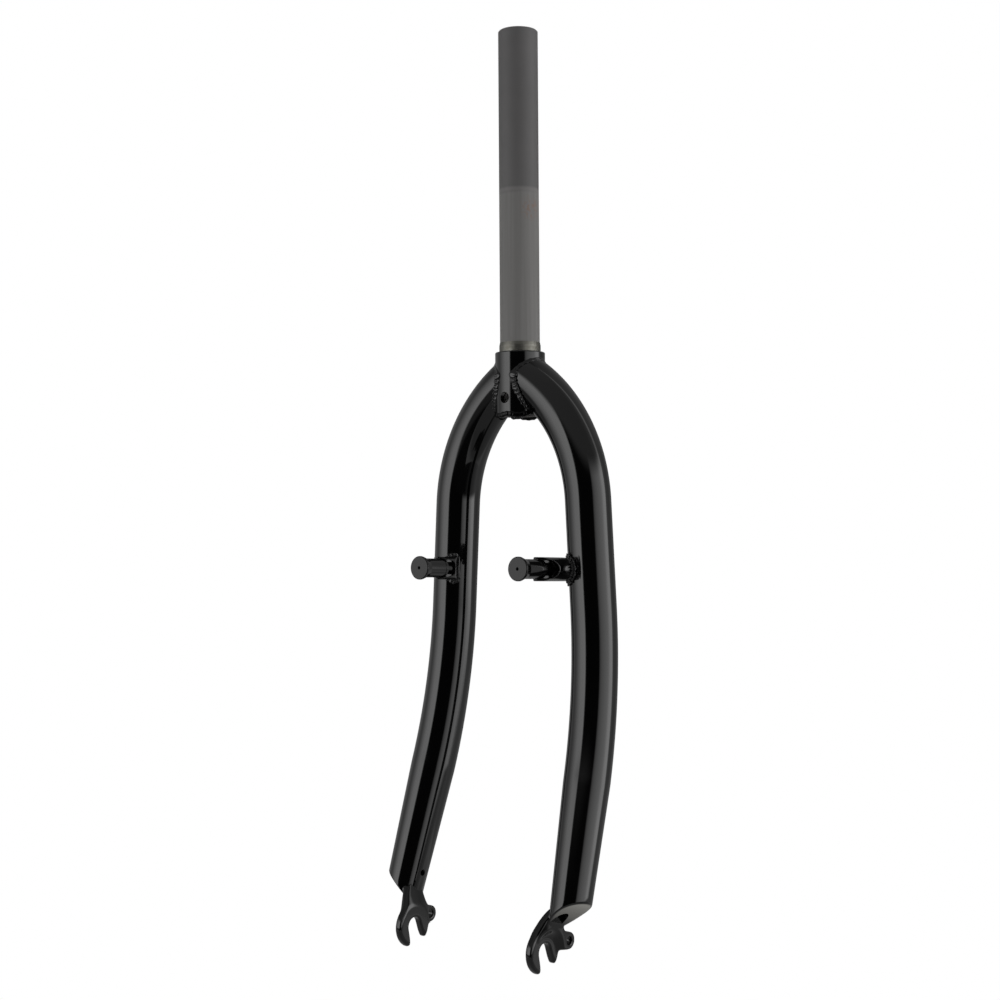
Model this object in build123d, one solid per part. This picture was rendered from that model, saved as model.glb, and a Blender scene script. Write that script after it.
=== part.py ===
from build123d import *
import math
import os

# Rigid bicycle fork for a 24 inch wheel, in millimetres.
# The origin is on the steerer axis at the crown race shoulder, +Z runs up the steerer,
# the wheel and the brake studs are towards -Y, and the rider's left blade is at +X.

# Steerer tube and the crown collar pressed onto its lower end
steerer_d = 25.4
steerer_bore = 22.2
steerer_above_shoulder = 206.0
steerer_end_chamfer = 0.6
steerer_foot_d = 24.8
collar_d = 31.8
collar_height = 40.5
collar_edge_round = 0.8
race_seat_d = 26.4
race_seat_height = 6.2
race_seat_lead_in = 2.0
race_seat_lead_in_depth = 0.4
crown_hole_d = 7.0
steerer_hole_d = 6.2
crown_hole_z = -29.5

# Blades: one bent tube each, a crown arch, a straight leg, a rake bend and a tapered tail
blade_d = 28.6
blade_wall = 1.6
arch_radius = 98.5
arch_end_x = 53.5
arch_end_z = -95.2
arch_start_x = 3.0
splay_deg = 3.1
rake_start_z = -160.0
rake_radius = 366.0
rake_deg = 16.9
tail_d = 24.4
tail_length = 76.0
vent_d = 4.0
vent_above_tail_end = 8.4

# The blade's end is scooped by a large round cutter and closed by a plate inside the wall
scoop_radius = 56.0
scoop_out_from_axis = 31.6
scoop_beyond_tail_end = 46.9
end_cap_thickness = 2.4

# Dropouts: cranked forgings with a lug about the axle, an open slot and a fender eyelet
hub_spacing = 100.0
axle_ahead_of_tail_end = 9.3
axle_below_tail_end = 23.75
axle_slot_width = 10.8
axle_slot_tilt_deg = 15.0
axle_slot_flare_deg = 4.0
lug_thickness = 5.2
lug_radius = 13.4
front_prong_round = 1.8
rear_prong_round = 1.3
lug_edge_round = 0.9
neck_thickness = 3.2
crank_depth = 5.6
crank_end_radius = 25.0
recess_floor_radius = 10.4
recess_mouth_radius = 13.4
neck_slope_back = -0.3
neck_slope_front = -7.8
neck_slot_clearance = 1.2
eyelet_d = 10.4
eyelet_hole_d = 5.0
eyelet_inner_depth = 3.6
eyelet_at = (18.6, 4.0)
eyelet_web_foot = (7.2, 4.0)
eyelet_web_foot_d = 8.8
# Edges of the neck in side view, as places behind and above the axle
neck_front = ((5.6, 26.6), (-0.4, 23.4), (-3.8, 19.0), (-7.0, 13.4), (-10.8, 7.3))
neck_rear = ((17.4, 9.0), (14.0, 12.6), (13.1, 17.8), (15.1, 26.6))

# Brake mounts: a notched base on each blade, a post and a flanged cap over the post
stud_spacing = 80.0
stud_z = -136.4
stud_tilt_deg = 1.5
stud_d = 8.0
stud_front_y = -50.0
stud_thread_hole_d = 5.0
stud_thread_hole_depth = 14.0
stud_shoulder_d = 11.8
stud_shoulder_front_y = -33.0
stud_shoulder_back_y = -31.0
base_front_y = -36.2
base_radius = 7.3
base_outward_reach = 3.0
base_nose_width = 1.6
base_nose_back_y = -29.0
base_bore_d = 12.4
base_notch_height = 10.8
base_notch_end_y = -24.4
base_taper_start_y = -27.0
base_taper_end_x = 44.5
base_taper_end_y = -9.0
cap_front_y = -52.6
cap_back_y = -33.4
cap_flange_d = 14.8
cap_flange_thickness = 1.4
cap_flange_round = 0.5
cap_cone_length = 4.4
cap_sleeve_d = 12.0
cap_vent_d = 2.0

# Weld beads, as their throat over each of the two pieces that they join
crown_weld_throat = 1.0
base_weld_throat = 1.3

# Length of cutting tools that pass right through
through = 80.0

blade_r = blade_d / 2
tail_r = tail_d / 2
collar_r = collar_d / 2
splay = math.radians(splay_deg)
rake = math.radians(rake_deg)
from_base = (Align.CENTER, Align.CENTER, Align.MIN)

# Directions and key points of the left blade's centreline
leg_direction = Vector(math.sin(splay), 0, -math.cos(splay))
forward = Vector(0, -1, 0)
arch_end = Vector(arch_end_x, 0, arch_end_z)
arch_centre_x = arch_end_x - arch_radius * math.cos(splay)
arch_centre_z = arch_end_z - arch_radius * math.sin(splay)
arch_start_deg = math.degrees(math.acos((arch_start_x - arch_centre_x) / arch_radius))
leg_length = (arch_end_z - rake_start_z) / math.cos(splay)
rake_start = arch_end + leg_direction * leg_length
tail_direction = leg_direction * math.cos(rake) + forward * math.sin(rake)
outward = (Vector(1, 0, 0) - tail_direction * tail_direction.X).normalized()

lug_inner_x = hub_spacing / 2
lug_outer_x = lug_inner_x + lug_thickness
neck_inner_x = lug_inner_x + crank_depth
neck_outer_x = neck_inner_x + neck_thickness
eyelet_inner_x = lug_inner_x + eyelet_inner_depth
stud_x = stud_spacing / 2


def rake_point(angle):
    """A point of the rake bend's centreline, at an angle from the bend's start."""
    step = leg_direction * math.sin(angle) + forward * (1 - math.cos(angle))
    return rake_start + step * rake_radius


rake_end = rake_point(rake)
tail_end = rake_end + tail_direction * tail_length
axle_y = tail_end.Y - axle_ahead_of_tail_end
axle_z = tail_end.Z - axle_below_tail_end


def upright_bar(diameter, low_z, high_z):
    """A round bar on the steerer axis between two heights."""
    return Pos(0, 0, low_z) * Cylinder(diameter / 2, high_z - low_z, align=from_base)


def stud_bar(diameter, front_y, back_y):
    """A round bar on the left stud's axis between two places along Y."""
    start = Plane(origin=(stud_x, back_y, stud_z), z_dir=(0, -1, 0))
    return start * Cylinder(diameter / 2, back_y - front_y, align=from_base)


def cross_hole(diameter):
    """The bolt hole through the crown, front to back."""
    return Pos(0, 0, crown_hole_z) * Rot(90, 0, 0) * Cylinder(diameter / 2, through)


def arch_edge():
    """The centreline's crown arch, from inside the collar to the start of the leg."""
    turn = splay_deg - arch_start_deg
    return Plane.XZ * CenterArc((arch_centre_x, arch_centre_z), arch_radius, arch_start_deg, turn)


def arch_body(grow):
    """The left blade's crown arch as a solid bar, its radius changed by grow."""
    path = arch_edge()
    return sweep(Plane(origin=path @ 0, z_dir=path % 0) * Circle(blade_r + grow), path=path)


def leg_body(grow):
    """The left blade's straight leg as a solid bar, its radius changed by grow."""
    return Plane(origin=arch_end, z_dir=leg_direction) * Cylinder(blade_r + grow, leg_length, align=from_base)


def blade_body(grow):
    """The left blade as a solid bar, its radius changed by grow, before any cut."""
    bend = ThreePointArc(rake_start, rake_point(rake / 2), rake_end)
    path = Wire([arch_edge(), Line(arch_end, rake_start), bend])
    bent = sweep(Plane(origin=path @ 0, z_dir=path % 0) * Circle(blade_r + grow), path=path)
    run = tail_length + blade_d
    end_r = blade_r - (blade_r - tail_r) * run / tail_length
    start = Plane(origin=rake_end, z_dir=tail_direction)
    tail = start * Cone(blade_r + grow, end_r + grow, run, align=from_base)
    return bent + tail


def scoop(radius):
    """The round cutter that shapes the left blade's lower end."""
    centre = tail_end + tail_direction * scoop_beyond_tail_end + outward * scoop_out_from_axis
    return Plane(origin=centre, z_dir=tail_direction.cross(outward)) * Cylinder(radius, through)


def blade(outer, bore):
    """The left blade: a tube mitred to the collar, scooped at its end, vented in its inner wall."""
    tube = outer - bore - upright_bar(collar_d, -through, through) - scoop(scoop_radius)
    vent_at = tail_end - tail_direction * vent_above_tail_end - outward * tail_r
    return tube - Plane(origin=vent_at, z_dir=outward) * Cylinder(vent_d / 2, tail_r)


def end_cap(bore):
    """The plate that closes the left blade's end, set inside the wall."""
    return bore & (scoop(scoop_radius + end_cap_thickness) - scoop(scoop_radius))


def steerer():
    """The steerer tube, open at both ends, turned down in the collar and drilled for the crown bolt."""
    tube = upright_bar(steerer_d, race_seat_height, steerer_above_shoulder)
    tube += upright_bar(steerer_foot_d, -collar_height, race_seat_height)
    tube -= upright_bar(steerer_bore, -collar_height, steerer_above_shoulder)
    rims = tube.edges().filter_by(GeomType.CIRCLE).group_by(Axis.Z)
    tube = chamfer(rims[-1] + rims[0], steerer_end_chamfer)
    return tube - cross_hole(steerer_hole_d)


def collar():
    """The sleeve that carries the blades, with the crown race seat turned at its top."""
    seat_r = race_seat_d / 2
    inner_r = steerer_foot_d / 2
    profile = Plane.XZ * make_face(Polyline(
        (inner_r, -collar_height),
        (collar_r, -collar_height),
        (collar_r, 0),
        (seat_r, 0),
        (seat_r, race_seat_height - race_seat_lead_in),
        (seat_r - race_seat_lead_in_depth, race_seat_height),
        (inner_r, race_seat_height),
        close=True,
    ))
    sleeve = revolve(profile, Axis.Z)
    rims = sleeve.edges().filter_by(GeomType.CIRCLE)
    outer_rims = rims.filter_by(lambda rim: abs(rim.radius - collar_r) < 0.01)
    sleeve = fillet(outer_rims, collar_edge_round)
    return sleeve - cross_hole(crown_hole_d)


def side_extrude(sketch, low_x, high_x):
    """A side view outline, in Y and Z, given thickness between two places along X."""
    return extrude(Plane.YZ.offset(low_x) * sketch, high_x - low_x)


def axle_cone(low_r, high_r, low_x, high_x):
    """A cone about the left end of the wheel axle."""
    start = Plane(origin=(low_x, axle_y, axle_z), z_dir=(1, 0, 0))
    return start * Cone(low_r, high_r, high_x - low_x, align=from_base)


def dropout_layer(sketch, low_x, high_x):
    """A side view outline about the axle, given thickness between two places along X."""
    return side_extrude(Pos(axle_y, axle_z) * sketch, low_x, high_x)


def slot_sketch(grow):
    """The axle slot, its sides moved out by grow: round at the axle, wider at its mouth below."""
    half = axle_slot_width / 2 + grow
    reach = 2 * lug_radius
    mouth = half + reach * math.tan(math.radians(axle_slot_flare_deg))
    opening = make_face(Polyline((-half, 0), (half, 0), (mouth, -reach), (-mouth, -reach), close=True))
    return Rot(0, 0, axle_slot_tilt_deg) * (Circle(half) + opening)


def lug_sketch():
    """The round lug about the axle, open at the slot, with rounded prongs."""
    lug = Circle(lug_radius) - slot_sketch(0)
    front_tip, rear_tip = lug.vertices().sort_by(Axis.Y)[:2].sort_by(Axis.X)
    lug = fillet(rear_tip, rear_prong_round)
    return fillet(lug.vertices().sort_by_distance(front_tip.center())[0], front_prong_round)


def neck_sketch():
    """The neck between the blade and the lug, with the web that carries the eyelet."""
    neck = make_face(Wire([
        Spline(*neck_front),
        Line(neck_front[-1], (0, 0)),
        Line((0, 0), neck_rear[0]),
        Spline(*neck_rear),
        Line(neck_rear[-1], neck_front[0]),
    ]))
    web = make_hull(
        (Pos(*eyelet_at) * Circle(eyelet_d / 2)).edges()
        + (Pos(*eyelet_web_foot) * Circle(eyelet_web_foot_d / 2)).edges()
    )
    return neck + web - slot_sketch(neck_slot_clearance)


def neck_slope():
    """The wedge cut from the neck's front, so that it runs down to the lug's outer face."""
    plan = make_face(Polyline(
        (neck_outer_x + 1, neck_slope_back),
        (lug_outer_x, neck_slope_front),
        (lug_outer_x, neck_slope_front - lug_radius),
        (neck_outer_x + 1, neck_slope_front - lug_radius),
        close=True,
    ))
    return Pos(0, axle_y, axle_z) * extrude(plan, through, both=True)


def dropout(blade_bar):
    """The left dropout: lug in line with the hub, cranked outwards to the neck and the eyelet."""
    lug = dropout_layer(lug_sketch(), lug_inner_x, lug_outer_x)
    faces = lug.faces().sort_by(Axis.X)
    lug = fillet(faces[0].edges() + faces[-1].edges(), lug_edge_round)
    ring = Pos(*eyelet_at) * Circle(eyelet_d / 2)
    hole = Pos(*eyelet_at) * Circle(eyelet_hole_d / 2)
    crank = axle_cone(lug_radius, crank_end_radius, lug_inner_x, neck_inner_x)
    crank &= dropout_layer(neck_sketch(), lug_inner_x, neck_inner_x)
    crank -= dropout_layer(ring, lug_inner_x, eyelet_inner_x)
    neck = dropout_layer(neck_sketch(), neck_inner_x, neck_outer_x)
    eyelet = dropout_layer(ring, eyelet_inner_x, neck_outer_x)
    recess = axle_cone(recess_floor_radius, recess_mouth_radius, lug_outer_x, neck_outer_x)
    body = crank + neck + eyelet - recess - neck_slope()
    return body + lug - dropout_layer(hole, lug_inner_x, neck_outer_x) - blade_bar


def tilted(shape):
    """A piece of the left brake mount, its front end tipped up about the stud's front."""
    return Pos(0, cap_front_y, stud_z) * Rot(-stud_tilt_deg, 0, 0) * Pos(0, -cap_front_y, -stud_z) * shape


def base_body(grow):
    """The left brake base's outside as a solid block, changed by grow all round."""
    start = Plane(origin=(stud_x + base_outward_reach / 2, 0, stud_z), x_dir=(1, 0, 0), z_dir=(0, -1, 0))
    bar = extrude(start * SlotCenterToCenter(base_outward_reach, 2 * (base_radius + grow)), -base_front_y)
    inner_x = stud_x - base_radius - grow
    outer_x = stud_x + base_outward_reach + base_radius + grow
    plan = make_face(Polyline(
        (stud_x - base_nose_width / 2, base_front_y),
        (stud_x + base_nose_width / 2, base_front_y),
        (outer_x, base_nose_back_y),
        (outer_x, 0),
        (base_taper_end_x - grow, 0),
        (base_taper_end_x - grow, base_taper_end_y),
        (inner_x, base_taper_start_y),
        (inner_x, base_nose_back_y),
        close=True,
    ))
    return tilted(bar & Pos(0, 0, stud_z) * extrude(plan, through, both=True))


def brake_base(blade_bar):
    """The left brake base: bored for the cap, notched through its sides, cut to fit the blade."""
    half = base_notch_height / 2
    notch_middle = base_notch_end_y - half
    notch = Pos(notch_middle, stud_z) * Circle(half)
    notch += Pos(notch_middle, stud_z) * Rectangle(through, base_notch_height, align=(Align.MAX, Align.CENTER))
    bore = stud_bar(base_bore_d, base_front_y, base_notch_end_y)
    return base_body(0) - tilted(side_extrude(notch, 0, through)) - tilted(bore) - blade_bar


def brake_stud():
    """The left post that the brake arm turns on, with its shoulder and bolt hole."""
    post = stud_bar(stud_d, stud_front_y, base_notch_end_y)
    post += stud_bar(stud_shoulder_d, stud_shoulder_front_y, stud_shoulder_back_y)
    return tilted(post - stud_bar(stud_thread_hole_d, stud_front_y, stud_front_y + stud_thread_hole_depth))


def stud_cap():
    """The left flanged sleeve over the post."""
    flange_back_y = cap_front_y + cap_flange_thickness
    sleeve = stud_bar(cap_sleeve_d, cap_front_y, cap_back_y)
    flange = stud_bar(cap_flange_d, cap_front_y, flange_back_y)
    rims = flange.edges().filter_by(GeomType.CIRCLE).group_by(Axis.Y)
    flange = fillet(rims[0], cap_flange_round)
    start = Plane(origin=(stud_x, flange_back_y, stud_z), z_dir=(0, 1, 0))
    cone = start * Cone(cap_flange_d / 2, cap_sleeve_d / 2, cap_cone_length, align=from_base)
    cap = sleeve + flange + cone - stud_bar(stud_d, stud_front_y, cap_back_y)
    return tilted(cap - stud_bar(cap_vent_d, cap_front_y, stud_front_y))


def crown_weld():
    """The bead round the left blade's mitre on the collar."""
    around = upright_bar(collar_d + 2 * crown_weld_throat, -collar_height, -collar_edge_round)
    return (arch_body(crown_weld_throat) & around) - arch_body(0) - upright_bar(collar_d, -through, through)


def base_weld():
    """The bead round the foot of the left brake base."""
    bead = (base_body(base_weld_throat) & leg_body(base_weld_throat)) - base_body(0) - leg_body(0)
    return split(bead, Plane.YZ.offset(base_taper_end_x), keep=Keep.TOP)


def main():
    os.makedirs("parts", exist_ok=True)
    bar = blade_body(0)
    bore = blade_body(-blade_wall)
    left = {
        "blade": blade(bar, bore),
        "end_cap": end_cap(bore),
        "dropout": dropout(bar - scoop(scoop_radius)),
        "brake_base": brake_base(leg_body(0)),
        "brake_stud": brake_stud(),
        "stud_cap": stud_cap(),
        "crown_weld": crown_weld(),
        "base_weld": base_weld(),
    }
    pieces = {"steerer_tube": steerer(), "crown_collar": collar()}
    for name, piece in left.items():
        pieces[f"left_{name}"] = piece
        pieces[f"right_{name}"] = mirror(piece, about=Plane.YZ)
    for name, piece in pieces.items():
        export_step(piece, f"parts/{name}.step")


main()
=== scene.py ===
import math
import bmesh
import bpy
import numpy as np
from mathutils import Matrix, Vector


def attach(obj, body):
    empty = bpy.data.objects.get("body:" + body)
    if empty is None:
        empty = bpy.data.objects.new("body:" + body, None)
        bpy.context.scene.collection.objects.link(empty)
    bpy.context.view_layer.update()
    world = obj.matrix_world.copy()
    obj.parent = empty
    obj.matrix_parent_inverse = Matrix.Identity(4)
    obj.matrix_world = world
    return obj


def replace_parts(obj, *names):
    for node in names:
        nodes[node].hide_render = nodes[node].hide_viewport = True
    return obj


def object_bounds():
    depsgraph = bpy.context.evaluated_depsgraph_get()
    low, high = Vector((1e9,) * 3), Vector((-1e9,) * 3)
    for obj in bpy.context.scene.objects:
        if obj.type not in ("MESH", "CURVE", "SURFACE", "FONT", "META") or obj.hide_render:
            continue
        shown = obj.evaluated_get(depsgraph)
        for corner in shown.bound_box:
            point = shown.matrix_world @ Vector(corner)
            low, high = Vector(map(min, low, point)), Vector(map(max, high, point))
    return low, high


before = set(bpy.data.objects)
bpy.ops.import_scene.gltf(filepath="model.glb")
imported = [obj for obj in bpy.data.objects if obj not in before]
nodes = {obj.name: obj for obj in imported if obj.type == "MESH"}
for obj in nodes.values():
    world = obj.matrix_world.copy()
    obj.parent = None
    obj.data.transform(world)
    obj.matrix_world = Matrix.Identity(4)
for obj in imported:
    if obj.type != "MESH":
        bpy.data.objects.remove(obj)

cad_low, cad_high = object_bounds()
scene = bpy.context.scene
mm = 0.001

# Camera of the photograph, in the fork's own frame, in metres and radians
camera_at = Vector((0.66473, -0.80787, -0.11488))
camera_yaw = 0.70130
camera_pitch = 0.02008
camera_roll = 0.00641
focal_share = 1.64293
sensor_width = 36

# Studio: brightness round the horizon, as degrees from the camera's side and strength
studio_ring = (
    (-180, 0.12), (-140, 0.28), (-111, 0.34), (-99, 0.72), (-88, 1.30), (-75, 2.00), (-52, 2.40),
    (-47, 0.01), (19, 0.01), (25, 0.75), (34, 1.13), (50, 1.50), (67, 1.80), (79, 2.60), (92, 2.40),
    (98, 0.40), (118, 0.19), (141, 0.16), (180, 0.12),
)
ceiling_ring = (
    (-180, 0.12), (-90, 0.20), (-60, 0.30), (60, 0.25), (84, 0.35), (92, 1.20), (100, 0.30), (180, 0.12),
)
low_ring = (
    (-180, 0.12), (-50, 0.16), (-40, 0.02), (30, 0.02), (70, 0.30), (92, 0.46), (104, 0.34), (118, 0.26),
    (180, 0.12),
)
studio_peak = 2.6

# Studio: how far a direction points up where the low and the ceiling ring take over
low_from = -0.10
low_full = -0.19
ceiling_from = 0.28
ceiling_full = 0.50

# Floor, in metres: how the camera sees it, and how bright it is in reflections
floor_drop = 0.25
floor_size = 1.6
floor_colour = (0.9, 0.9, 0.9, 1)
floor_fade_share = 0.25
floor_fade_low = 0.55
floor_glow_at = (-0.055, 0.178, 0.0)
floor_gloss_near = 0.56
floor_gloss_away = 0.27
floor_gloss_from = 0.085
floor_gloss_to = 0.14
floor_edge_gloss = 0.55
floor_edge_from = 0.55
floor_edge_to = 0.95
white = (1, 1, 1, 1)
warm_white = (1.0, 0.985, 0.92, 1)

# Paint: colours, noise in cells a metre, heights and depths in metres, rounded edges in millimetres
paint_dark = (0.0009, 0.0009, 0.0010, 1)
paint_pale = (0.0018, 0.0018, 0.0019, 1)
paint_roughness = 0.10
paint_specular = 0.1
haze_cells = 55
haze_roughness = 0.10
dust_colour = (0.11, 0.105, 0.095, 1)
dust_cells = 1600
dust_from = 0.74
dust_full = 0.80
dust_steep_up = 0.1
dust_level_up = 0.9
dust_on_steep = 0.03
dust_on_level = 0.25
peel_cells = 420
peel_height = 0.0000035
coat_roughness = 0.04
thin_coat = 0.15
edge_samples = 6
small_edge_round = 0.35
collar_edge_round = 0.5
cap_face_from = -0.0519
cap_face_full = -0.0523
cap_face_wear = 0.45

# Collar: the bare race seat above the paint and the matt underside, in metres
seat_from = 0.00005
seat_full = 0.00045
under_from = -0.0400
under_full = -0.0404
seat_dark = (0.11, 0.108, 0.095, 1)
seat_pale = (0.30, 0.295, 0.265, 1)
seat_stretch = (6, 6, 2600)
seat_groove = 0.00002
seat_roughness = 0.34
stain_colour = (0.10, 0.09, 0.07, 1)
stain_cells = 240
stain_from = 0.45
stain_full = 0.8
stain_share = 0.5
stain_roughness = 0.2

# Steerer: a darker upper and a lighter lower part with a soft line between, in metres
upper_dark = (0.144, 0.140, 0.140, 1)
upper_pale = (0.182, 0.177, 0.177, 1)
upper_specular = 0.55
lower_dark = (0.228, 0.223, 0.218, 1)
lower_pale = (0.322, 0.316, 0.308, 1)
lower_specular = 0.3
lower_from = 0.1060
lower_full = 0.1015
lower_wander = 0.004
line_colour = (0.36, 0.35, 0.34, 1)
line_z = 0.1030
line_from = 0.0022
line_full = 0.0002
line_share = 0.35
smudge_colour = (0.36, 0.16, 0.10, 1)
smudge_at = (0.0124, -0.0032, 0.0905)
smudge_from = 0.010
smudge_full = 0.002
smudge_cells = 500
smudge_patch_from = 0.40
smudge_patch_full = 0.65
smudge_share = 0.35
cloud_cells = 45
grain_cells = 2600
streak_stretch = (420, 420, 9)
steel_roughness = 0.46
streak_roughness = 0.12
grain_roughness = 0.16
steel_grain = 0.000012

# Blade, in millimetres, for the rider's left side
collar_r = 15.9
blade_r = 14.3
blade_wall = 1.6
arch_radius = 98.5
arch_end = Vector((53.5, 0, -95.2))
arch_start = -99.0
splay = math.radians(3.1)
rake_start_z = -160.0
rake_radius = 366.0
rake = math.radians(16.9)
tail_r = 12.2
tail_length = 76.0
scoop_radius = 56.0
scoop_out = 31.6
scoop_beyond = 46.9
end_thickness = 2.4
end_round = 1.3
vent_r = 2.0
vent_above_end = 8.4
vent_steps = 64
blade_columns = 96
blade_rows = 130
bore_rows = 50
end_rings = 14
round_rows = 5

# Weld beads, in millimetres
crown_bead_legs = (3.0, 2.0)
crown_bead_height = 1.7
crown_bead_skew = 0.4
crown_bead_pitch = 2.6
crown_smooth_z = -13.0
crown_rough_z = -19.0
crown_bead_foot_z = -37.0
crown_blob_angle = math.radians(82)
crown_blob_share = 0.7
crown_blob_reach = 2.6
foot_bead_legs = (1.8, 1.8)
foot_bead_height = 0.6
foot_bead_skew = 0.0
foot_bead_tilt = 0.1
foot_bead_z = -40.1
foot_bead_wave = 0.5
foot_wave_rate = 7
foot_wave_start = 0.6
foot_bead_span = math.radians(62)
base_bead_legs = (3.0, 2.4)
base_bead_height = 2.4
base_bead_skew = -0.4
base_bead_pitch = 2.1
base_bead_out = 2.4
base_bead_up = 0.6
base_bead_turn = math.radians(25)
base_search_y = -30.0
bead_sink = 0.4
bead_ripple = 0.34
bead_step = 0.2
bead_arc = 10
bead_blunt = 0.04
bead_bow = 0.38
bead_keel = 0.6
ripple_spread = 0.94
smooth_spread = 0.6
smooth_height = 0.3
crown_places = 360
foot_places = 60
base_places = 120

# Slow waves of a bead's size: share, radians a millimetre and radians at its start
bead_waves = ((0.07, 1.7, 0.0), (0.05, 0.83, 1.0))

# Skins of the dropouts and brake bases, in millimetres and rounds of softening
axle_y = -47.2
axle_z = -362.6
eyelet_behind_axle = 18.6
eyelet_above_axle = 4.0
stub_height = 4.5
stub_inset = 0.15
dropout_voxel = 0.3
dropout_even_rounds = 12
dropout_fill_rounds = 160
dropout_smooth_rounds = 50
lug_keep_r = 8.5
eyelet_keep_r = 5.0
keep_fade = 3.0
base_voxel = 0.25
base_even_rounds = 6
base_fill_rounds = 14
base_smooth_rounds = 4
base_blend_y = -22.0
base_blend_fade = 4.0
patch_inner_r = 12.9
patch_angle = math.radians(135)
patch_turn = math.radians(75)
patch_half_height = 14.0
patch_columns = 40
patch_rows = 20
flare_start_y = -22.5
flare_end_y = -13.5
flare_reach = 2.6
flare_fade = 4.0

# Opening in the blade's closed end beside the dropout's neck, in millimetres from the tail's axis
window_out = -7.6
window_reach = 6.9
window_side = 1.9
window_half = 5.6
window_low = 12.0
window_high = 7.0
window_steps = 32

# Foot of the brake base, in millimetres
stud_z = -136.4
stud_tilt = math.radians(1.5)
stud_front_y = -52.6
base_foot_x = 43.0
base_foot_r = 7.3
base_foot_start_x = 44.5

# How fine the work is: steps of a search, share of each softening move, metres and degrees
halvings = 40
scoop_rounds = 6
soften_step = 0.5
same_point = 1e-7
crease_deg = 40
no_crease_deg = 180

on_axis = Vector((0, 0, 0))

leg_way = Vector((math.sin(splay), 0, -math.cos(splay)))
side_way = Vector((math.cos(splay), 0, math.sin(splay)))
forward = Vector((0, -1, 0))
arch_centre = arch_end - side_way * arch_radius
leg_length = (arch_end.z - rake_start_z) / math.cos(splay)
rake_start = arch_end + leg_way * leg_length
rake_length = rake_radius * rake
tail_start = leg_length + rake_length
blade_end = tail_start + tail_length


def blade_station(along):
    """Centre, two cross directions and radius of the blade, at a length along it from the arch's end."""
    if along < 0:
        turn = -along / arch_radius
        out = side_way * math.cos(turn) - leg_way * math.sin(turn)
        return arch_centre + out * arch_radius, out, forward, blade_r
    if along < leg_length:
        return arch_end + leg_way * along, side_way, forward, blade_r
    turn = min(along - leg_length, rake_length) / rake_radius
    bend = leg_way * math.sin(turn) + forward * (1 - math.cos(turn))
    way = leg_way * math.cos(turn) + forward * math.sin(turn)
    front = forward * math.cos(turn) - leg_way * math.sin(turn)
    beyond = max(along - tail_start, 0)
    radius = blade_r + (tail_r - blade_r) * beyond / tail_length
    return rake_start + bend * rake_radius + way * beyond, side_way, front, radius


def blade_normal(along, angle):
    """The direction out of the blade's wall."""
    out, front = blade_station(along)[1:3]
    return out * math.cos(angle) + front * math.sin(angle)


def blade_point(along, angle, inset=0.0):
    """A point of the blade's wall, moved inwards by inset."""
    centre, out, front, radius = blade_station(along)
    return centre + (out * math.cos(angle) + front * math.sin(angle)) * (radius - inset)


def halve(low, high, test):
    """The place between low and high where test turns from true to false."""
    for step in range(halvings):
        middle = (low + high) / 2
        if test(middle):
            low = middle
        else:
            high = middle
    return (low + high) / 2


def mitre(angle, inset=0.0):
    """Length along the blade where its wall leaves the collar."""
    return halve(arch_start, 0.0, lambda along: blade_point(along, angle, inset).xy.length < collar_r)


crown_blob_along = mitre(crown_blob_angle)
tail_way = leg_way * math.cos(rake) + forward * math.sin(rake)
tail_end = blade_station(blade_end)[0]
tail_out = (Vector((1, 0, 0)) - tail_way * tail_way.x).normalized()
tail_side = tail_way.cross(tail_out)


def scoop_depth(offset, grow=0.0):
    """Distance below the tail's end at which the scooped face lies, for an offset from the axis."""
    across = offset.dot(tail_out) - scoop_out
    return scoop_beyond - math.sqrt((scoop_radius + grow) ** 2 - across ** 2)


def scoop_point(offset, grow=0.0):
    """A point of the scooped face, at an offset from the tail's axis."""
    return tail_end + tail_way * scoop_depth(offset, grow) + offset


def scoop_length(angle, inset=0.0, grow=0.0):
    """Length along the blade where its wall meets the scooped face."""
    along = blade_end
    for step in range(scoop_rounds):
        radius = blade_station(along)[3]
        offset = blade_normal(along, angle) * (radius - inset)
        along = blade_end + scoop_depth(offset, grow)
    return along, offset


def blade_column(angle):
    """One line of the blade's skin, from inside its closed end, up the bore and down the outside."""
    bore_end, bore_offset = scoop_length(angle, blade_wall, end_thickness)
    column = [scoop_point(bore_offset * ring / end_rings, end_thickness) for ring in range(1, end_rings)]
    bore_start = mitre(angle, blade_wall)
    for row in range(bore_rows + 1):
        along = bore_end + (bore_start - bore_end) * row / bore_rows
        column.append(blade_point(along, angle, blade_wall))
    start = mitre(angle)
    corner, offset = scoop_length(angle)
    end = corner - end_round
    for row in range(blade_rows + 1):
        column.append(blade_point(start + (end - start) * row / blade_rows, angle))
    edge_share = 1 - end_round / offset.length
    wall, rim, face = column[-1], blade_point(corner, angle), scoop_point(offset * edge_share)
    for row in range(1, round_rows + 1):
        part = row / round_rows
        column.append(wall * (1 - part) ** 2 + rim * 2 * part * (1 - part) + face * part ** 2)
    for ring in range(1, end_rings):
        column.append(scoop_point(offset * edge_share * (1 - ring / end_rings)))
    return column


def ring_faces(rings, size):
    """Faces between rings of points that follow each other."""
    faces = []
    for ring in range(rings - 1):
        low, high = ring * size, (ring + 1) * size
        for place in range(size):
            other = (place + 1) % size
            faces.append((low + place, low + other, high + other, high + place))
    return faces


def closed_skin(columns):
    """Points and faces of a skin whose columns stand in a ring, open at both ends."""
    rows = len(columns[0])
    points = [column[row] for row in range(rows) for column in columns]
    return points, ring_faces(rows, len(columns))


def close_end(points, faces, ring, tip):
    """Adds a tip that closes a ring of points."""
    points.append(tip)
    for place, first in enumerate(ring):
        faces.append((first, ring[(place + 1) % len(ring)], len(points) - 1))


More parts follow.
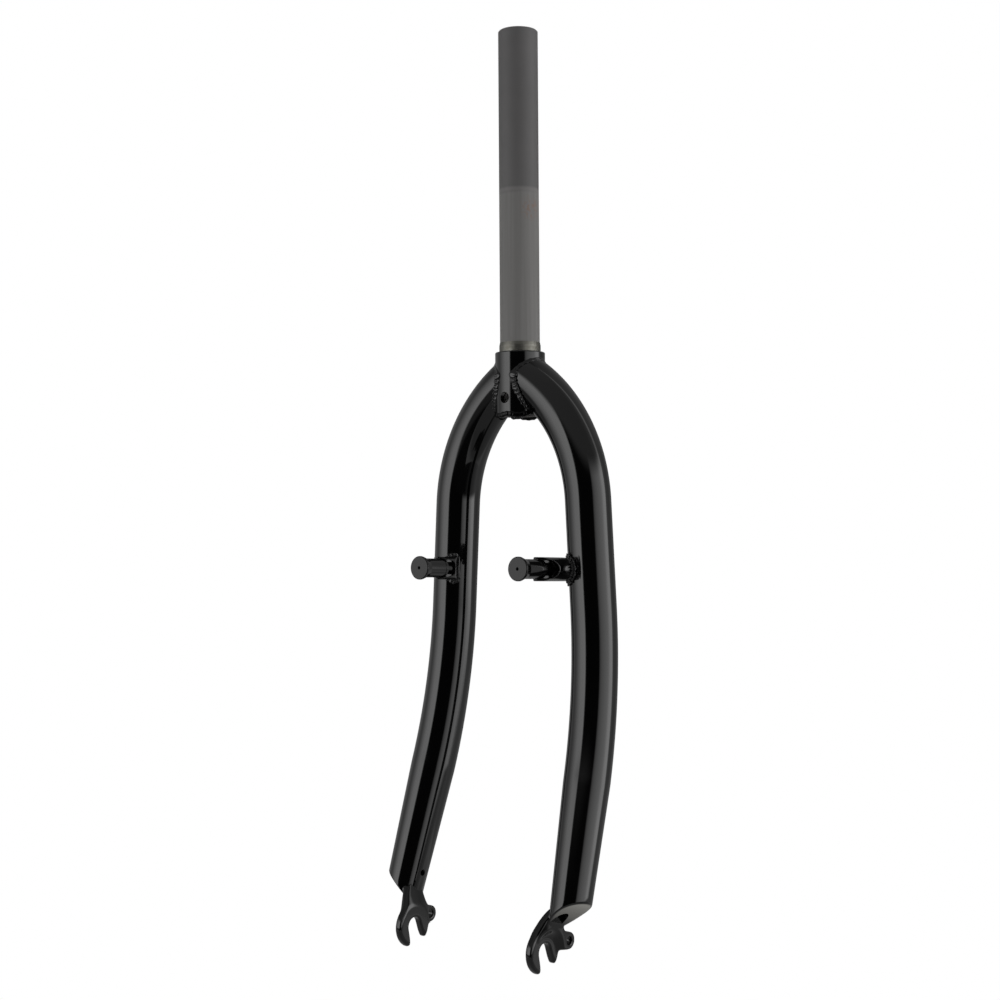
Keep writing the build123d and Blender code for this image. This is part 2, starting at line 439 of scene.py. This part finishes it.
def make_piece(name, points, faces, side, material, smooth_deg=crease_deg):
    """A mesh object from points in millimetres, on the left for side 1 and mirrored for side -1."""
    mesh = bpy.data.meshes.new(name)
    mesh.from_pydata([(point.x * side * mm, point.y * mm, point.z * mm) for point in points], [], faces)
    shape = bmesh.new()
    shape.from_mesh(mesh)
    bmesh.ops.recalc_face_normals(shape, faces=shape.faces)
    shape.to_mesh(mesh)
    shape.free()
    mesh.shade_smooth()
    mesh.set_sharp_from_angle(angle=math.radians(smooth_deg))
    mesh.materials.append(material)
    piece = bpy.data.objects.new(name, mesh)
    scene.collection.objects.link(piece)
    return piece


def vent_cutter():
    """Points and faces of the drill for the vent in the blade's inner wall."""
    middle = tail_end - tail_way * vent_above_end - tail_out * tail_r
    angles = [math.tau * step / vent_steps for step in range(vent_steps)]
    outline = [(math.cos(angle) * vent_r, math.sin(angle) * vent_r) for angle in angles]
    return prism(outline, middle, tail_side, tail_way, tail_out, tail_r / 2, tail_r / 2)


def window_cutter():
    """Points and faces of the cutter for the opening in the blade's closed end."""
    outline = []
    for step in range(window_steps + 1):
        angle = math.pi * (step / window_steps - 0.5)
        out = window_out + window_reach * math.cos(angle)
        outline.append((out, window_side + window_half * math.sin(angle)))
    return prism(outline, tail_end, tail_out, tail_side, tail_way, window_high, window_low)


def prism(outline, middle, across, up, way, before, after):
    """Points and faces of a bar with an outline, from some way before its middle to some way after."""
    points = []
    for along in (-before, after):
        points += [middle + across * a + up * b + way * along for a, b in outline]
    count = len(outline)
    ends = [tuple(range(count)), tuple(range(count, 2 * count))]
    return points, ends + ring_faces(2, count)


def cut_out(piece, shape, side):
    """Cuts a shape out of a piece."""
    cutter = make_piece("cutter", *shape, side, piece.data.materials[0])
    cut = piece.modifiers.new("hole", "BOOLEAN")
    cut.operation = "DIFFERENCE"
    cut.object = cutter
    bpy.context.view_layer.update()
    done = bpy.data.meshes.new_from_object(piece.evaluated_get(bpy.context.evaluated_depsgraph_get()))
    piece.modifiers.clear()
    piece.data = done
    done.shade_smooth()
    done.set_sharp_from_angle(angle=math.radians(crease_deg))
    bpy.data.objects.remove(cutter)


def make_blade(name, side, material):
    """One blade with its closed end, rounded at the rim and vented in its inner wall."""
    angles = [math.tau * place / blade_columns for place in range(blade_columns)]
    columns = [blade_column(angle) for angle in angles]
    points, faces = closed_skin(columns)
    last = len(points)
    close_end(points, faces, list(range(blade_columns)), scoop_point(on_axis, end_thickness))
    close_end(points, faces, list(range(last - blade_columns, last)), scoop_point(on_axis))
    blade = make_piece(f"{name}_blade_skin", points, faces, side, material)
    cut_out(blade, vent_cutter(), side)
    cut_out(blade, window_cutter(), side)
    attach(blade, "root")
    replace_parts(blade, f"{name}_blade", f"{name}_end_cap")


def resample(path, step):
    """Points at an even step along a line of (point, normal, normal) places."""
    lengths = [0.0]
    for place in range(1, len(path)):
        lengths.append(lengths[-1] + (path[place][0] - path[place - 1][0]).length)
    count = round(lengths[-1] / step)
    places = []
    here = 0
    for number in range(count + 1):
        want = lengths[-1] * number / count
        while here < len(path) - 2 and lengths[here + 1] < want:
            here += 1
        share = (want - lengths[here]) / (lengths[here + 1] - lengths[here])
        places.append([a.lerp(b, share) for a, b in zip(path[here], path[here + 1])])
    return places


def even_bead(point):
    """Roughness and swelling of a bead that is the same all along."""
    return 1.0, 0.0


def crown_bead(point):
    """Roughness and swelling of the crown bead, smooth on the arch's top, with a blob in front."""
    rough = (point.z - crown_smooth_z) / (crown_rough_z - crown_smooth_z)
    blob = blade_point(crown_blob_along, crown_blob_angle)
    swelling = crown_blob_share * math.exp(-((point - blob).length / crown_blob_reach) ** 2)
    return min(max(rough, 0), 1), swelling


def factor(low, share):
    """A factor that rises from low to 1 with a share."""
    return low + (1 - low) * share


def bead_skin(path, legs, height, skew, pitch, strength):
    """A weld bead along a line between two surfaces, with ripples and round ends."""
    places = resample(path, bead_step)
    columns = []
    reach = bead_step * (len(places) - 1)
    for number, (point, normal_a, normal_b) in enumerate(places):
        along = number * bead_step
        before = places[max(number - 1, 0)][0]
        after = places[min(number + 1, len(places) - 1)][0]
        way = (after - before).normalized()
        out = (normal_a + normal_b).normalized()
        toe_a = way.cross(normal_a).normalized()
        toe_b = way.cross(normal_b).normalized()
        if toe_a.dot(normal_b) < 0:
            toe_a = -toe_a
        if toe_b.dot(normal_a) < 0:
            toe_b = -toe_b
        end = min(along, reach - along) / sum(legs)
        swell = math.sqrt(1 - (1 - min(end + bead_blunt, 1)) ** 2)
        rough, swelling = strength(point)
        waves = sum(share * math.sin(along * rate + start) for share, rate, start in bead_waves)
        wander = 1 + waves + swelling
        ring = []
        for step in range(bead_arc + 1):
            across = 2 * step / bead_arc - 1
            wave = along / pitch + bead_bow * across * across
            lift = 1 - bead_ripple * rough * (1 - abs(math.sin(math.pi * wave)))
            spread = swell * wander * factor(ripple_spread, lift) * factor(smooth_spread, rough)
            foot = toe_a * legs[0] * max(-across, 0) + toe_b * legs[1] * max(across, 0)
            gap = (skew - across) / (1 + skew) if across < skew else (across - skew) / (1 - skew)
            crest = height * swell * wander * lift * factor(smooth_height, rough) * (1 - gap * gap)
            ring.append(point + foot * spread + out * (crest - bead_sink * across ** 4))
        ring.append(point - out * (bead_sink + bead_keel))
        columns.append(ring)
    rings = len(columns)
    size = bead_arc + 2
    points = [point for ring in columns for point in ring]
    faces = ring_faces(rings, size)
    close_end(points, faces, list(range(size)), places[0][0])
    last = (rings - 1) * size
    close_end(points, faces, list(range(last, last + size)), places[-1][0])
    return points, faces


def crown_path():
    """The line where the blade's wall meets the collar, above the collar's foot."""
    path = []
    for place in range(crown_places + 1):
        angle = math.tau * (place / crown_places - 0.5)
        along = mitre(angle)
        point = blade_point(along, angle)
        if point.z > crown_bead_foot_z:
            path.append((point, Vector((point.x, point.y, 0)).normalized(), blade_normal(along, angle)))
    return path


def foot_path(front):
    """The collar's lower edge between the blades, in front for 1 and behind for -1."""
    path = []
    for place in range(foot_places + 1):
        angle = foot_bead_span * (2 * place / foot_places - 1)
        out = Vector((math.sin(angle), -front * math.cos(angle), 0))
        z = foot_bead_z + foot_bead_wave * math.sin(foot_wave_rate * angle + foot_wave_start)
        tilt = Vector((0, 0, foot_bead_tilt))
        path.append((out * collar_r + Vector((0, 0, z)), out + tilt, out - tilt))
    return path


def base_path():
    """The line where the outer side of the brake base meets the blade."""
    path = []
    start = math.acos((base_foot_start_x - base_foot_x) / base_foot_r)
    turn = Matrix.Rotation(-stud_tilt, 3, "X")
    pivot = Vector((0, stud_front_y, stud_z))
    for place in range(base_places + 1):
        angle = start - 2 * start * place / base_places
        x = base_foot_x + (base_foot_r + base_bead_out) * math.cos(angle)
        z = stud_z + (base_foot_r + base_bead_up) * math.sin(angle)

        def leg_offset(y):
            point = turn @ (Vector((x, y, z)) - pivot) + pivot
            from_leg = point - arch_end
            return point, from_leg - leg_way * from_leg.dot(leg_way)

        y = halve(base_search_y, 0.0, lambda y: leg_offset(y)[1].length > blade_r)
        point, from_leg = leg_offset(y)
        flare = math.cos(angle) * base_bead_turn
        outwards = Vector((math.cos(angle), 0, math.sin(angle)))
        side_normal = outwards * math.cos(flare) + forward * math.sin(flare)
        path.append((point, from_leg.normalized(), turn @ side_normal))
    return path


def make_weld(name, skin, side, material):
    """One rippled bead."""
    bead = make_piece(name, *skin, side, material, no_crease_deg)
    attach(bead, "root")
    return bead


def end_stub():
    """A slice of the blade's closed end, just inside its skin, for the dropout to run into."""
    columns = []
    for place in range(blade_columns):
        angle = math.tau * place / blade_columns
        column = []
        for grow, rings in ((stub_height, range(1, end_rings + 1)), (stub_inset, range(end_rings, 0, -1))):
            offset = scoop_length(angle, stub_inset, grow)[1]
            column += [scoop_point(offset * ring / end_rings, grow) for ring in rings]
        columns.append(column)
    points, faces = closed_skin(columns)
    last = len(points)
    close_end(points, faces, list(range(blade_columns)), scoop_point(on_axis, stub_height))
    close_end(points, faces, list(range(last - blade_columns, last)), scoop_point(on_axis, stub_inset))
    return points, faces


def leg_patch():
    """A slab of the blade's wall behind the brake base, just inside its skin."""
    middle = arch_end + leg_way * ((arch_end.z - stud_z) / math.cos(splay))
    columns = []
    for column in range(patch_columns + 1):
        angle = patch_angle + patch_turn * (2 * column / patch_columns - 1)
        out = side_way * math.cos(angle) + forward * math.sin(angle)
        outer = []
        inner = []
        for row in range(patch_rows + 1):
            centre = middle + leg_way * (patch_half_height * (2 * row / patch_rows - 1))
            outer.append(centre + out * (blade_r - stub_inset))
            inner.append(centre + out * patch_inner_r)
        columns.append(outer + inner[::-1])
    points = [point for column in columns for point in column]
    size = len(columns[0])
    faces = ring_faces(patch_columns + 1, size)
    for start in (0, patch_columns * size):
        for row in range(patch_rows):
            faces.append((start + row, start + row + 1, start + size - 2 - row, start + size - 1 - row))
    return points, faces


def merged_skin(node, extra, side, voxel):
    """One even skin round a node and some extra points and faces in millimetres."""
    shape = bmesh.new()
    shape.from_mesh(nodes[node].data)
    bmesh.ops.remove_doubles(shape, verts=shape.verts, dist=same_point)
    points, faces = extra
    corners = [shape.verts.new((point.x * side * mm, point.y * mm, point.z * mm)) for point in points]
    for face in faces:
        shape.faces.new([corners[corner] for corner in face])
    bmesh.ops.recalc_face_normals(shape, faces=shape.faces)
    mesh = bpy.data.meshes.new(node)
    shape.to_mesh(mesh)
    shape.free()
    piece = bpy.data.objects.new(f"{node}_skin", mesh)
    scene.collection.objects.link(piece)
    remesh = piece.modifiers.new("skin", "REMESH")
    remesh.mode = "VOXEL"
    remesh.voxel_size = voxel * mm
    bpy.context.view_layer.update()
    piece.data = bpy.data.meshes.new_from_object(piece.evaluated_get(bpy.context.evaluated_depsgraph_get()))
    piece.modifiers.clear()
    return piece


def read_points(mesh):
    """A mesh's points in millimetres."""
    points = np.empty(len(mesh.vertices) * 3)
    mesh.vertices.foreach_get("co", points)
    return points.reshape(-1, 3) / mm


def soften(mesh, rounds, shares, fill_only):
    """Evens a mesh out, each point by its share, or only fills its hollows."""
    points = read_points(mesh)
    edges = np.array([edge.vertices[:] for edge in mesh.edges])
    faces = np.array([face.vertices[:] for face in mesh.polygons])
    links = np.bincount(edges.ravel(), minlength=len(points))[:, None]
    for step in range(rounds):
        total = np.zeros_like(points)
        np.add.at(total, edges[:, 0], points[edges[:, 1]])
        np.add.at(total, edges[:, 1], points[edges[:, 0]])
        move = (total / links - points) * soften_step
        if fill_only:
            first, second, third, fourth = (points[faces[:, corner]] for corner in range(4))
            across = np.cross(third - first, fourth - second)
            normals = np.zeros_like(points)
            for corner in range(4):
                np.add.at(normals, faces[:, corner], across)
            normals /= np.linalg.norm(normals, axis=1)[:, None]
            move = normals * np.maximum((move * normals).sum(axis=1), 0)[:, None]
        points += move * shares[:, None]
    mesh.vertices.foreach_set("co", (points * mm).ravel())


def finish_skin(piece, node, material):
    """Gives a blended skin its finish, and puts it in the node's place."""
    piece.data.shade_smooth()
    piece.data.materials.clear()
    piece.data.materials.append(material)
    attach(piece, "root")
    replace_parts(piece, node)


def make_dropout(name, side, material):
    """One dropout, run smoothly into the blade's end as forging, brazing and thick paint leave it."""
    piece = merged_skin(f"{name}_dropout", end_stub(), side, dropout_voxel)
    points = read_points(piece.data)
    behind = points[:, 1] - axle_y
    above = points[:, 2] - axle_z
    soften(piece.data, dropout_even_rounds, np.ones(len(points)), False)
    from_axle = np.hypot(behind, above)
    from_eyelet = np.hypot(behind - eyelet_behind_axle, above - eyelet_above_axle)
    shares = np.clip((from_axle - lug_keep_r) / keep_fade, 0, 1)
    shares *= np.clip((from_eyelet - eyelet_keep_r) / keep_fade, 0, 1)
    soften(piece.data, dropout_fill_rounds, shares, True)
    soften(piece.data, dropout_smooth_rounds, shares, False)
    finish_skin(piece, f"{name}_dropout", material)
    cut_out(piece, window_cutter(), side)


def make_base(name, side, material):
    """One brake base, run smoothly into the blade."""
    piece = merged_skin(f"{name}_brake_base", leg_patch(), side, base_voxel)
    points = read_points(piece.data)
    soften(piece.data, base_even_rounds, np.ones(len(points)), False)
    shares = np.clip((points[:, 1] - base_blend_y) / base_blend_fade, 0, 1)
    soften(piece.data, base_fill_rounds, shares, True)
    soften(piece.data, base_smooth_rounds, shares, False)
    points = read_points(piece.data)
    rise = np.clip((points[:, 1] - flare_start_y) / (flare_end_y - flare_start_y), 0, 1)
    outside = np.clip((points[:, 0] * side - base_foot_x) / flare_fade, 0, 1)
    from_leg = points * (side, 1, 1) - np.array(arch_end)
    from_leg -= np.outer(from_leg @ np.array(leg_way), np.array(leg_way))
    clear = np.clip(np.linalg.norm(from_leg, axis=1) - blade_r, 0, 1)
    points[:, 0] += side * flare_reach * rise ** 2 * outside * clear
    piece.data.vertices.foreach_set("co", (points * mm).ravel())
    finish_skin(piece, f"{name}_brake_base", material)


def camera_axes():
    """The camera's right, up and backward directions."""
    ahead = Vector((
        -math.sin(camera_yaw) * math.cos(camera_pitch),
        math.cos(camera_yaw) * math.cos(camera_pitch),
        math.sin(camera_pitch),
    ))
    level = Vector((math.cos(camera_yaw), math.sin(camera_yaw), 0))
    down = ahead.cross(level)
    right = level * math.cos(camera_roll) + down * math.sin(camera_roll)
    up = level * math.sin(camera_roll) - down * math.cos(camera_roll)
    return right, up, -ahead


def make_camera():
    """The photograph's camera."""
    data = bpy.data.cameras.new("camera")
    data.sensor_width = sensor_width
    data.lens = focal_share * sensor_width
    camera = bpy.data.objects.new("camera", data)
    scene.collection.objects.link(camera)
    right, up, back = camera_axes()
    turn = Matrix((right, up, back)).transposed().to_4x4()
    camera.matrix_world = Matrix.Translation(camera_at) @ turn
    scene.camera = camera


class Tree:
    """A node tree with short ways to add and join nodes."""

    def __init__(self, owner):
        owner.use_nodes = True
        self.tree = owner.node_tree
        self.tree.nodes.clear()

    def add(self, kind, settings=None, **inputs):
        """Adds a node; inputs are values or sockets, by name with _ for a space, or by i and a number."""
        node = self.tree.nodes.new(kind)
        for name, value in (settings or {}).items():
            setattr(node, name, value)
        for name, value in inputs.items():
            place = int(name[1:]) if name[1:].isdigit() else name.replace("_", " ")
            self.put(node.inputs[place], value)
        return node

    def put(self, socket, value):
        """Links a socket, or sets a value."""
        if isinstance(value, bpy.types.NodeSocket):
            self.tree.links.new(value, socket)
        else:
            socket.default_value = value

    def math(self, operation, a, b=0.0, c=0.0):
        """The result of a math node."""
        return self.add("ShaderNodeMath", {"operation": operation}, i0=a, i1=b, i2=c).outputs[0]

    def dot(self, a, b):
        """The dot product of two vectors."""
        return self.add("ShaderNodeVectorMath", {"operation": "DOT_PRODUCT"}, i0=a, i1=b).outputs["Value"]

    def range(self, value, start, end, low=0.0, high=1.0):
        """A value brought smoothly from one range to another."""
        settings = {"interpolation_type": "SMOOTHSTEP"}
        node = self.add("ShaderNodeMapRange", settings, i0=value, i1=start, i2=end, i3=low, i4=high)
        return node.outputs[0]

    def blend(self, share, low, high):
        """A number between two others."""
        return self.add("ShaderNodeMix", {"data_type": "FLOAT"}, i0=share, i2=low, i3=high).outputs[0]

    def tint(self, share, low, high):
        """A colour between two others."""
        return self.add("ShaderNodeMix", {"data_type": "RGBA"}, i0=share, i6=low, i7=high).outputs[2]

    def noise(self, place, scale, detail):
        """Cloudy noise from 0 to 1 at so many cells a metre."""
        return self.add("ShaderNodeTexNoise", Vector=place, Scale=scale, Detail=detail).outputs[0]

    def distance(self, place, other):
        """How far a place is from another."""
        node = self.add("ShaderNodeVectorMath", {"operation": "DISTANCE"}, i0=place, i1=other)
        return node.outputs["Value"]

    def part(self, vector, axis):
        """One of a vector's three parts."""
        return self.add("ShaderNodeSeparateXYZ", i0=vector).outputs[axis]

    def stretched(self, place, scale):
        """Coordinates stretched by a factor along each axis."""
        return self.add("ShaderNodeVectorMath", {"operation": "MULTIPLY"}, i0=place, i1=scale).outputs[0]

    def bump(self, height, distance):
        """A surface normal with bumps of a height in metres."""
        return self.add("ShaderNodeBump", Height=height, Distance=distance, Strength=1.0).outputs[0]

    def ramp(self, factor, stops):
        """A grey colour ramp's result."""
        node = self.add("ShaderNodeValToRGB", i0=factor)
        points = node.color_ramp.elements
        points[0].position, points[1].position = stops[0][0], stops[-1][0]
        points[0].color = (stops[0][1],) * 3 + (1,)
        points[1].color = (stops[-1][1],) * 3 + (1,)
        for place, level in stops[1:-1]:
            points.new(place).color = (level, level, level, 1)
        return node.outputs[0]


def make_world():
    """White for the camera, and a studio of soft boxes for all else."""
    world = bpy.data.worlds.new("studio")
    scene.world = world
    tree = Tree(world)
    way = tree.add("ShaderNodeTexCoord").outputs["Generated"]
    right, _, back = camera_axes()
    turn = tree.math("ARCTAN2", tree.dot(way, right), tree.dot(way, back))
    share = tree.math("MULTIPLY_ADD", turn, 0.5 / math.pi, 0.5)
    rings = []
    for levels in (low_ring, studio_ring, ceiling_ring):
        stops = [((degrees + 180) / 360, level / studio_peak) for degrees, level in levels]
        rings.append(tree.math("MULTIPLY", tree.ramp(share, stops), studio_peak))
    height = tree.part(way, "Z")
    studio = tree.blend(tree.range(height, low_full, low_from), rings[0], rings[1])
    studio = tree.blend(tree.range(height, ceiling_from, ceiling_full), studio, rings[2])
    camera_ray = tree.add("ShaderNodeLightPath").outputs["Is Camera Ray"]
    level = tree.blend(camera_ray, studio, 1.0)
    light = tree.add("ShaderNodeBackground", Color=white, Strength=level)
    tree.add("ShaderNodeOutputWorld", Surface=light.outputs[0])


def make_floor():
    """A plain pale floor below the fork, which fades to white towards its edges."""
    half = floor_size / 2
    z = cad_low.z - floor_drop
    mesh = bpy.data.meshes.new("floor")
    corners = [(-half, -half, z), (half, -half, z), (half, half, z), (-half, half, z)]
    mesh.from_pydata(corners, [], [(0, 1, 2, 3)])
    floor = bpy.data.objects.new("floor", mesh)
    scene.collection.objects.link(floor)
    material = bpy.data.materials.new("floor")
    tree = Tree(material)
    place = tree.add("ShaderNodeTexCoord").outputs["Object"]
    flat = tree.stretched(place, (1, 1, 0))
    away = tree.add("ShaderNodeVectorMath", {"operation": "LENGTH"}, i0=flat).outputs["Value"]
    fade = tree.range(away, floor_fade_share * half, half, floor_fade_low, 1.0)
    path = tree.add("ShaderNodeLightPath")
    other = tree.math("MAXIMUM", path.outputs["Is Glossy Ray"], path.outputs["Is Transmission Ray"])
    seen = tree.math("MAXIMUM", tree.math("MULTIPLY", path.outputs["Is Camera Ray"], fade), other)
    glow = tree.distance(flat, floor_glow_at)
    gloss = tree.range(glow, floor_gloss_from, floor_gloss_to, floor_gloss_near, floor_gloss_away)
    edge_gloss = tree.range(away, floor_edge_from, floor_edge_to, 0.0, floor_edge_gloss)
    gloss = tree.math("MAXIMUM", gloss, edge_gloss)
    warm = tree.range(glow, floor_gloss_from, floor_gloss_to, 1.0, 0.0)
    tone = tree.tint(tree.math("MULTIPLY", other, warm), white, warm_white)
    shine = tree.add("ShaderNodeEmission", Color=tone, Strength=tree.blend(other, 1.0, gloss))
    matt = tree.add("ShaderNodeBsdfDiffuse", Color=floor_colour)
    mixed = tree.add("ShaderNodeMixShader", i0=seen, i1=matt.outputs[0], i2=shine.outputs[0])
    tree.add("ShaderNodeOutputMaterial", Surface=mixed.outputs[0])
    mesh.materials.append(material)


def paint_look(tree, edge_round):
    """Gloss black paint: its colour, roughness and normal, with orange peel, haze and a little dust."""
    place = tree.add("ShaderNodeTexCoord").outputs["Object"]
    haze = tree.noise(place, haze_cells, detail=3.0)
    specks = tree.range(tree.noise(place, dust_cells, detail=1.0), dust_from, dust_full)
    up = tree.part(tree.add("ShaderNodeNewGeometry").outputs["Normal"], "Z")
    settled = tree.range(up, dust_steep_up, dust_level_up, dust_on_steep, dust_on_level)
    dust = tree.math("MULTIPLY", specks, settled)
    colour = tree.tint(dust, tree.tint(haze, paint_dark, paint_pale), dust_colour)
    roughness = tree.math("ADD", tree.math("MULTIPLY_ADD", haze, haze_roughness, paint_roughness), dust)
    peel = tree.bump(tree.noise(place, peel_cells, detail=1.0), peel_height)
    if edge_round:
        edges = tree.add("ShaderNodeBevel", {"samples": edge_samples}, Radius=edge_round * mm, Normal=peel)
        peel = edges.outputs[0]
    return colour, roughness, peel


def coated(tree, colour, roughness, normal, coat, **more):
    """Puts a clear coat over a surface, and makes it the material's own."""
    surface = tree.add(
        "ShaderNodeBsdfPrincipled",
        Base_Color=colour,
        Roughness=roughness,
        Normal=normal,
        Specular_IOR_Level=paint_specular,
        Coat_Weight=coat,
        Coat_Roughness=coat_roughness,
        **more,
    )
    tree.add("ShaderNodeOutputMaterial", Surface=surface.outputs[0])


def paint_material(name, edge_round=0.0, coat=1.0):
    """Gloss black paint, less glossy where its coat is thin."""
    material = bpy.data.materials.new(name)
    tree = Tree(material)
    colour, roughness, normal = paint_look(tree, edge_round)
    coated(tree, colour, roughness, normal, coat, Coat_Normal=normal)
    return material


def cap_material():
    """Gloss black paint, duller on the cap's worn front face."""
    material = bpy.data.materials.new("black_paint_on_caps")
    tree = Tree(material)
    colour, roughness, normal = paint_look(tree, small_edge_round)
    place = tree.add("ShaderNodeTexCoord").outputs["Object"]
    face = tree.range(tree.part(place, "Y"), cap_face_from, cap_face_full)
    coat = tree.math("MULTIPLY_ADD", face, -cap_face_wear, 1.0)
    coated(tree, colour, roughness, normal, coat, Coat_Normal=normal)
    return material


def collar_material():
    """Gloss black paint up to the shoulder, and bare turned steel on the race seat above it."""
    material = bpy.data.materials.new("black_paint_with_bare_seat")
    tree = Tree(material)
    colour, roughness, normal = paint_look(tree, collar_edge_round)
    place = tree.add("ShaderNodeTexCoord").outputs["Object"]
    z = tree.part(place, "Z")
    bare = tree.range(z, seat_from, seat_full)
    under = tree.range(z, under_from, under_full)
    turned = tree.noise(tree.stretched(place, seat_stretch), 1.0, detail=3.0)
    stain = tree.noise(place, stain_cells, detail=3.0)
    steel = tree.tint(turned, seat_dark, seat_pale)
    steel = tree.tint(tree.range(stain, stain_from, stain_full, 0.0, stain_share), steel, stain_colour)
    bare_roughness = tree.math("MULTIPLY_ADD", stain, stain_roughness, seat_roughness)
    steel_normal = tree.bump(turned, seat_groove)
    blend = {"data_type": "VECTOR"}
    mixed = tree.add("ShaderNodeMix", blend, i0=bare, i4=normal, i5=steel_normal).outputs[1]
    coat = tree.math("SUBTRACT", 1.0, tree.math("MAXIMUM", bare, under))
    colour = tree.tint(bare, colour, steel)
    roughness = tree.blend(bare, roughness, bare_roughness)
    coated(tree, colour, roughness, mixed, coat, Metallic=bare)
    return material


def steel_material():
    """Matt phosphated steel, lighter and streaked below a soft line, with a faint rust smudge."""
    material = bpy.data.materials.new("phosphated_steel")
    tree = Tree(material)
    place = tree.add("ShaderNodeTexCoord").outputs["Object"]
    z = tree.part(place, "Z")
    cloud = tree.noise(place, cloud_cells, detail=4.0)
    grain = tree.noise(place, grain_cells, detail=2.0)
    streaks = tree.noise(tree.stretched(place, streak_stretch), 1.0, detail=3.0)
    lower = tree.range(tree.math("MULTIPLY_ADD", cloud, lower_wander, z), lower_from, lower_full)
    above = tree.tint(cloud, upper_dark, upper_pale)
    below = tree.tint(streaks, lower_dark, lower_pale)
    colour = tree.tint(lower, above, below)
    line = tree.range(tree.math("ABSOLUTE", tree.math("SUBTRACT", z, line_z)), line_from, line_full)
    colour = tree.tint(tree.math("MULTIPLY", line, line_share), colour, line_colour)
    smudge = tree.range(tree.distance(place, smudge_at), smudge_from, smudge_full)
    patches = tree.noise(place, smudge_cells, detail=3.0)
    patches = tree.range(patches, smudge_patch_from, smudge_patch_full, 0.0, smudge_share)
    colour = tree.tint(tree.math("MULTIPLY", smudge, patches), colour, smudge_colour)
    roughness = tree.math("MULTIPLY_ADD", streaks, streak_roughness, steel_roughness)
    roughness = tree.math("MULTIPLY_ADD", grain, grain_roughness, roughness)
    steel = tree.add(
        "ShaderNodeBsdfPrincipled",
        Base_Color=colour,
        Roughness=roughness,
        Normal=tree.bump(tree.math("ADD", grain, streaks), steel_grain),
        Specular_IOR_Level=tree.blend(lower, upper_specular, lower_specular),
    )
    tree.add("ShaderNodeOutputMaterial", Surface=steel.outputs[0])
    return material


make_camera()
make_world()
make_floor()
scene.view_settings.view_transform = "Standard"
paint = paint_material("black_paint")
small_paint = paint_material("black_paint_on_small_parts", small_edge_round)
thin_paint = paint_material("thin_black_paint", coat=thin_coat)
for node in nodes.values():
    node.data.materials.clear()
    node.data.materials.append(small_paint)
nodes["steerer_tube"].data.materials[0] = steel_material()
nodes["crown_collar"].data.materials[0] = collar_material()
cap_paint = cap_material()
for name in ("left_stud_cap", "right_stud_cap"):
    nodes[name].data.materials[0] = cap_paint
for name, side in (("left", 1), ("right", -1)):
    make_blade(name, side, paint)
    make_dropout(name, side, paint)
    make_base(name, side, paint)
    crown = bead_skin(
        crown_path(), crown_bead_legs, crown_bead_height, crown_bead_skew, crown_bead_pitch, crown_bead,
    )
    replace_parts(make_weld(f"{name}_crown_bead", crown, side, paint), f"{name}_crown_weld")
    base = bead_skin(
        base_path(), base_bead_legs, base_bead_height, base_bead_skew, base_bead_pitch, even_bead,
    )
    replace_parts(make_weld(f"{name}_base_bead", base, side, paint), f"{name}_base_weld")
for name, front in (("front", 1), ("back", -1)):
    foot = bead_skin(
        foot_path(front), foot_bead_legs, foot_bead_height, foot_bead_skew, crown_bead_pitch, even_bead,
    )
    make_weld(f"{name}_foot_bead", foot, 1, thin_paint)
